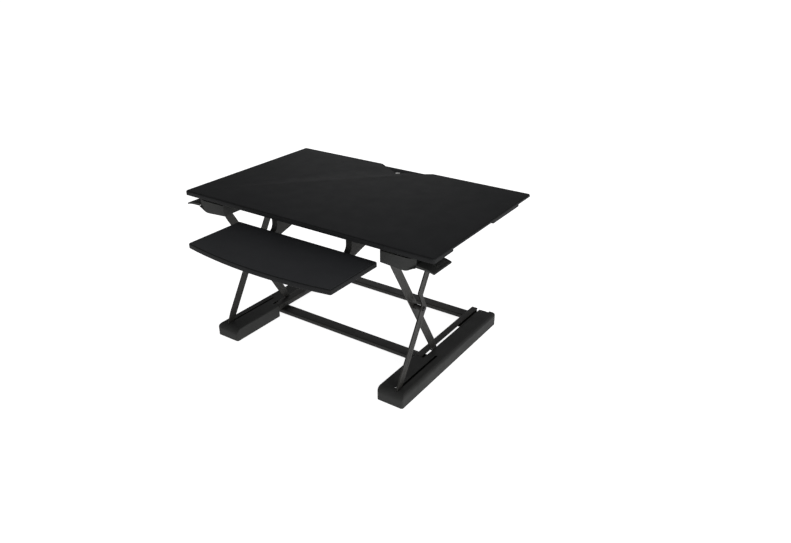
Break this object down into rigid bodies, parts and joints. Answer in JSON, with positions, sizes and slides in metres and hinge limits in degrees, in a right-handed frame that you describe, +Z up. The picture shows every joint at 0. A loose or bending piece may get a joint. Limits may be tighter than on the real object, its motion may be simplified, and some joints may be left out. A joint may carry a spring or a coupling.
{
  "type": "standing desk converter",
  "caption": "Height-adjustable desktop riser: a wide worktop and a lower keyboard tray on a scissor lift with two long feet and squeeze levers under the side edges.",
  "frame": {"origin": "centre of the bounding box in plan, on the surface the feet stand on", "axes": "+X to the right of a user who faces the worktop, +Y away from the user towards the rear edge, +Z up"},
  "size_m": [0.914, 0.778, 0.4936],
  "materials": {
    "laminate": "smooth dark laminate over fibreboard",
    "shell_plastic": "fine-textured moulded plastic",
    "coated_steel": "dark powder coat",
    "arm_steel": "dark powder coat, slightly warm",
    "plain_steel": "bare steel",
    "rod_steel": "ground and polished",
    "rubber": "matt",
    "nylon": "satin"
  },
  "bodies": {
    "base": {"foot_cover_right": "shell_plastic", "foot_cover_left": "shell_plastic", "foot_beam_right": "coated_steel", "foot_beam_left": "coated_steel", "lower_track_right": "coated_steel", "lower_track_left": "coated_steel", "base_crossbar_front": "coated_steel", "base_crossbar_rear": "coated_steel", "rubber_pad_front_right": "rubber", "rubber_pad_front_left": "rubber", "rubber_pad_rear_right": "rubber", "rubber_pad_rear_left": "rubber", "gas_anchor_right": "coated_steel", "gas_anchor_left": "coated_steel", "gas_cylinder_right": "coated_steel", "gas_cylinder_left": "coated_steel"},
    "arm_a": {"arm_a_right": "arm_steel", "arm_a_left": "arm_steel", "upper_axle_right": "plain_steel", "upper_axle_left": "plain_steel", "foot_pivot_pin_right": "plain_steel", "foot_pivot_pin_left": "plain_steel", "gas_crank_right": "coated_steel", "gas_crank_left": "coated_steel"},
    "upper_roller_right": {"upper_roller_right": "nylon"},
    "upper_roller_left": {"upper_roller_left": "nylon"},
    "arm_b": {"arm_b_right": "arm_steel", "arm_b_left": "arm_steel", "centre_bolt_right": "plain_steel", "centre_bolt_left": "plain_steel", "centre_spacer_right": "coated_steel", "centre_spacer_left": "coated_steel", "lower_axle_right": "plain_steel", "lower_axle_left": "plain_steel"},
    "lower_roller_right": {"lower_roller_right": "nylon"},
    "lower_roller_left": {"lower_roller_left": "nylon"},
    "top": {"desktop": "laminate", "keyboard_tray": "laminate", "tray_hanger_right": "coated_steel", "tray_hanger_left": "coated_steel", "upper_track_right": "coated_steel", "upper_track_left": "coated_steel", "top_clevis_right": "coated_steel", "top_clevis_left": "coated_steel", "top_pivot_pin_right": "plain_steel", "top_pivot_pin_left": "plain_steel", "top_crossbar_front": "coated_steel", "top_crossbar_rear": "coated_steel", "handle_housing_right": "shell_plastic", "handle_housing_left": "shell_plastic", "lever_pin_right": "plain_steel", "lever_pin_left": "plain_steel"},
    "lever_right": {"release_lever_right": "shell_plastic"},
    "lever_left": {"release_lever_left": "shell_plastic"},
    "gas_rods": {"gas_rod_right": "rod_steel", "gas_rod_left": "rod_steel"}
  },
  "joints": [
    {"name": "lift", "type": "hinge", "parent": "base", "child": "arm_a", "pos_m": [0, -0.1793, 0.0345], "axis": [1, 0, 0], "range_deg": [-52.44, 0]},
    {"name": "cross_pivot", "type": "hinge", "parent": "arm_a", "child": "arm_b", "pos_m": [0, -0.0499, 0.2503], "axis": [1, 0, 0], "range_deg": [0, 104.9]},
    {"name": "top_pivot", "type": "hinge", "parent": "arm_b", "child": "top", "pos_m": [0, -0.1793, 0.4661], "axis": [1, 0, 0], "range_deg": [-52.45, 0]},
    {"name": "gas_slide", "type": "slide", "parent": "base", "child": "gas_rods", "axis": [0, -1, 0], "range_m": [0, 0.0178]},
    {"name": "upper_roller_right", "type": "hinge", "parent": "arm_a", "child": "upper_roller_right", "pos_m": [0.33375, 0.0795, 0.4661], "axis": [1, 0, 0], "continuous": true},
    {"name": "lower_roller_right", "type": "hinge", "parent": "arm_b", "child": "lower_roller_right", "pos_m": [0.2947, 0.0795, 0.0345], "axis": [1, 0, 0], "continuous": true},
    {"name": "lever_right", "type": "hinge", "parent": "top", "child": "lever_right", "pos_m": [0.39, -0.146, 0.456], "axis": [0, -1, 0], "range_deg": [0, 12], "stiffness_Nm_per_rad": 2},
    {"name": "upper_roller_left", "type": "hinge", "parent": "arm_a", "child": "upper_roller_left", "pos_m": [-0.33375, 0.0795, 0.4661], "axis": [1, 0, 0], "continuous": true},
    {"name": "lower_roller_left", "type": "hinge", "parent": "arm_b", "child": "lower_roller_left", "pos_m": [-0.2947, 0.0795, 0.0345], "axis": [1, 0, 0], "continuous": true},
    {"name": "lever_left", "type": "hinge", "parent": "top", "child": "lever_left", "pos_m": [-0.39, -0.146, 0.456], "axis": [0, 1, 0], "range_deg": [0, 12], "stiffness_Nm_per_rad": 2}
  ],
  "couplings": [
    {"joint": "cross_pivot", "follows": "lift", "ratio": -2},
    {"joint": "top_pivot", "follows": "lift", "ratio": 1},
    {"joint": "gas_slide", "follows": "lift", "m_per_rad": -0.019307}
  ]
}
